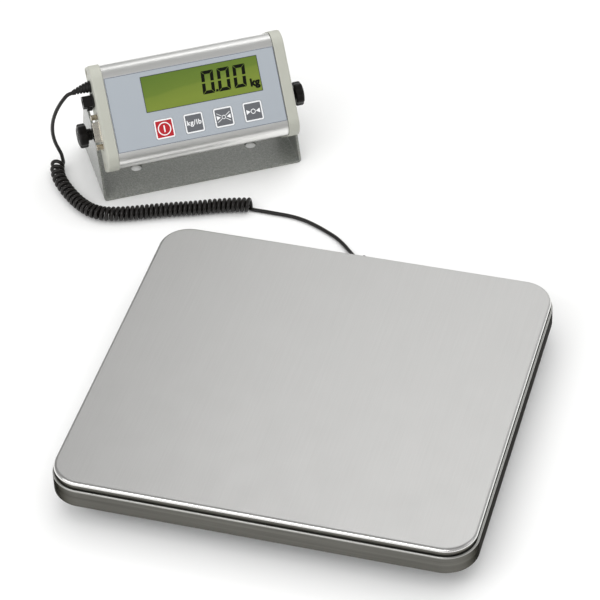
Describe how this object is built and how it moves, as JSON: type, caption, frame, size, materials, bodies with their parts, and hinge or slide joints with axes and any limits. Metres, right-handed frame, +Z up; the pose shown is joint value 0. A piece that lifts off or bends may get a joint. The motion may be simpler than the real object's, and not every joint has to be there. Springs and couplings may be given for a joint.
{
  "type": "bench scale",
  "caption": "Low square weighing platform with a lift-off steel plate, and a separate display that tilts on a bent bracket, joined by a coiled lead.",
  "frame": {"origin": "on the floor, under the middle of the box round the platform and the display with its bracket, leaving out the lead", "axes": "+Z up, +X along the platform's front edge to the right, +Y from the platform's front to the display behind it"},
  "size_m": [0.4589, 0.5239, 0.1105],
  "materials": {
    "stainless": "brushed grain, bright rolled edge",
    "galvanised": "galvanised sheet",
    "anodised": "satin silver anodised",
    "cap_plastic": "fine texture",
    "hammer_paint": "hammertone paint",
    "black_plastic": "semi-matt",
    "rubber": "matt",
    "foil": "matt printed foil",
    "key_red": "matt printed foil",
    "key_grey": "matt printed foil",
    "lcd": "glass of a liquid crystal display",
    "window": "clear tinted window",
    "board": "solder resist",
    "nickel": "nickel plated",
    "cell_steel": "milled",
    "battery": "printed sleeve; the light metal's weight is that of a filled cell"
  },
  "bodies": {
    "base": {"base_shell": "stainless", "bottom_plate": "galvanised", "bottom_screw_front_left": "nickel", "bottom_screw_front_right": "nickel", "bottom_screw_rear_left": "nickel", "bottom_screw_rear_right": "nickel", "bracket": "hammer_paint", "cord_coil": "rubber", "cord_display_tail": "rubber", "cord_gland": "rubber", "cord_platform_tail": "rubber", "foot_front_left": "rubber", "foot_front_right": "rubber", "foot_rear_left": "rubber", "foot_rear_right": "rubber", "front_rail": "galvanised", "load_cell_front_left": "cell_steel", "load_cell_front_right": "cell_steel", "load_cell_rear_left": "cell_steel", "load_cell_rear_right": "cell_steel", "plate_pad_front_left": "rubber", "plate_pad_front_right": "rubber", "plate_pad_rear_left": "rubber", "plate_pad_rear_right": "rubber", "rear_rail": "galvanised", "summing_board": "board"},
    "display": {"battery_cell_1": "battery", "battery_cell_2": "battery", "battery_cell_3": "battery", "battery_cell_4": "battery", "cap_screw_left_bottom": "nickel", "cap_screw_left_top": "nickel", "cap_screw_right_bottom": "nickel", "cap_screw_right_top": "nickel", "end_cap_left": "cap_plastic", "end_cap_right": "cap_plastic", "jack_screw_lower": "nickel", "jack_screw_upper": "nickel", "pivot_washer_left": "rubber", "pivot_washer_right": "rubber", "serial_port": "nickel", "serial_port_insert": "black_plastic", "housing": "anodised", "overlay": "foil", "lcd_window": "window", "lcd_module": "lcd", "main_board": "board", "battery_tray": "black_plastic", "power_inlet": "black_plastic", "cord_boot": "rubber"},
    "plate": {"weighing_plate": "stainless"},
    "key_power": {"key_power": "key_red"},
    "key_units": {"key_units": "key_grey"},
    "key_hold": {"key_hold": "key_grey"},
    "key_zero": {"key_zero": "key_grey"},
    "knob_left": {"knob_left": "black_plastic"},
    "knob_right": {"knob_right": "black_plastic"},
    "battery_door": {"battery_door": "cap_plastic"},
    "dust_cap": {"dust_cap": "rubber"}
  },
  "joints": [
    {"name": "plate_lift", "type": "slide", "parent": "base", "child": "plate", "axis": [0, 0, 1], "range_m": [0, 0.08]},
    {"name": "display_tilt", "type": "hinge", "parent": "base", "child": "display", "pos_m": [-0.1222, 0.1742, 0.0476], "axis": [0.8508, 0.5255, 0], "range_deg": [-26, 39], "deforming": ["cord_display_tail"]},
    {"name": "power_key_press", "type": "slide", "parent": "display", "child": "key_power", "axis": [-0.4084, 0.6612, -0.6293], "range_m": [0, 0.0004], "stiffness_N_per_m": 1500, "springref_m": -0.0004},
    {"name": "units_key_press", "type": "slide", "parent": "display", "child": "key_units", "axis": [-0.4084, 0.6612, -0.6293], "range_m": [0, 0.0004], "stiffness_N_per_m": 1500, "springref_m": -0.0004},
    {"name": "hold_key_press", "type": "slide", "parent": "display", "child": "key_hold", "axis": [-0.4084, 0.6612, -0.6293], "range_m": [0, 0.0004], "stiffness_N_per_m": 1500, "springref_m": -0.0004},
    {"name": "zero_key_press", "type": "slide", "parent": "display", "child": "key_zero", "axis": [-0.4084, 0.6612, -0.6293], "range_m": [0, 0.0004], "stiffness_N_per_m": 1500, "springref_m": -0.0004},
    {"name": "knob_left_turn", "type": "hinge", "parent": "display", "child": "knob_left", "pos_m": [-0.1222, 0.1742, 0.0476], "axis": [-0.8508, -0.5255, 0], "continuous": true},
    {"name": "knob_right_turn", "type": "hinge", "parent": "display", "child": "knob_right", "pos_m": [-0.1222, 0.1742, 0.0476], "axis": [0.8508, 0.5255, 0], "continuous": true},
    {"name": "door_release", "type": "slide", "parent": "display", "child": "battery_door", "axis": [-0.4084, 0.6612, -0.6293], "range_m": [0, 0.02]},
    {"name": "dust_cap_turn", "type": "hinge", "parent": "display", "child": "dust_cap", "pos_m": [-0.1909, 0.12671, 0.08519], "axis": [0.8508, 0.5255, 0], "range_deg": [-28, 36]}
  ]
}
